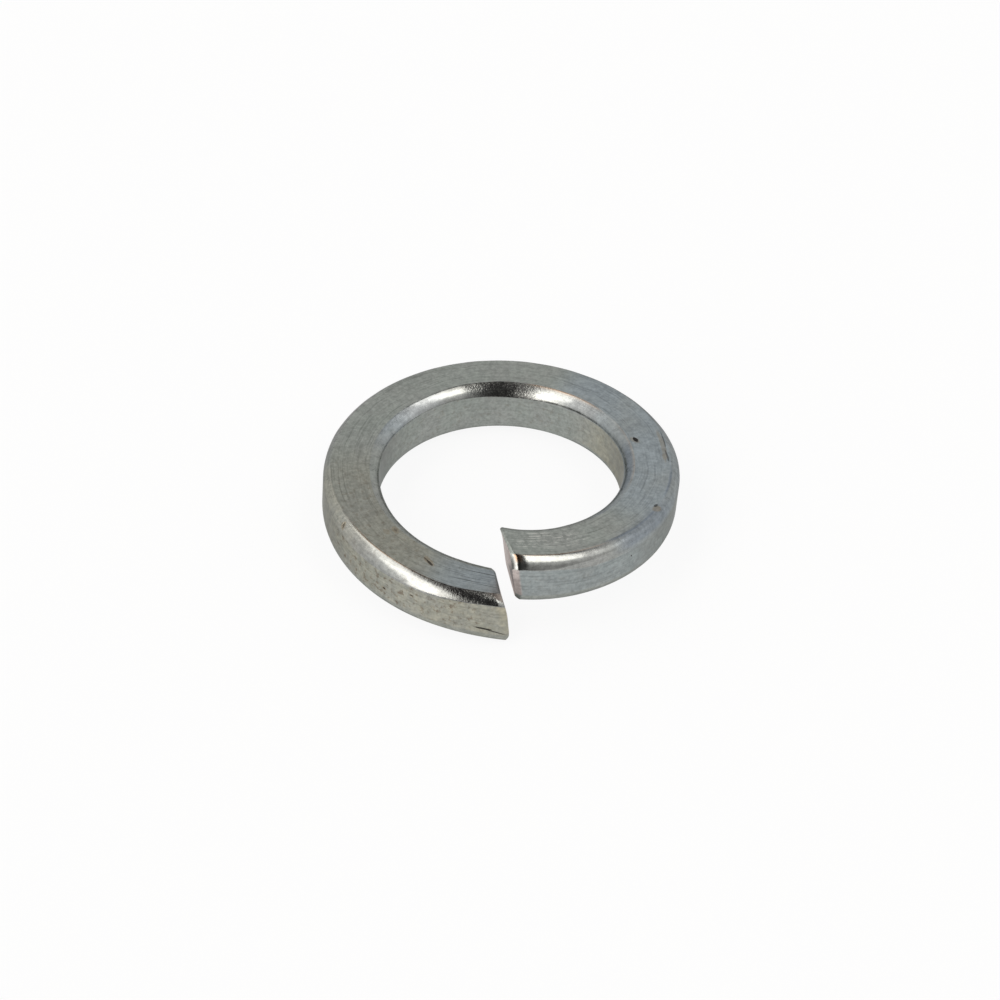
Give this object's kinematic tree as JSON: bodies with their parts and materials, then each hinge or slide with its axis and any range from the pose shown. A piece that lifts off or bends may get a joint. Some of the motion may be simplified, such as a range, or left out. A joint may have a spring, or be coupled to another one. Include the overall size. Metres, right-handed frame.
{
  "type": "spring lock washer",
  "caption": "Split spring ring of thick near-square wire, sprung into a left-hand helix, that goes under a screw's head to keep it from working loose.",
  "frame": {"origin": "on the bore axis, at half the free height", "axes": "+Z along the bore axis, towards the side of the slit's high end; the slit faces -Y, with its high end on the +X side and its low end on the -X side"},
  "size_m": [0.0359, 0.0358, 0.0108],
  "materials": {
    "zinc_plated_steel": "satin"
  },
  "bodies": {
    "root": {"lock_washer": "zinc_plated_steel"}
  },
  "joints": []
}
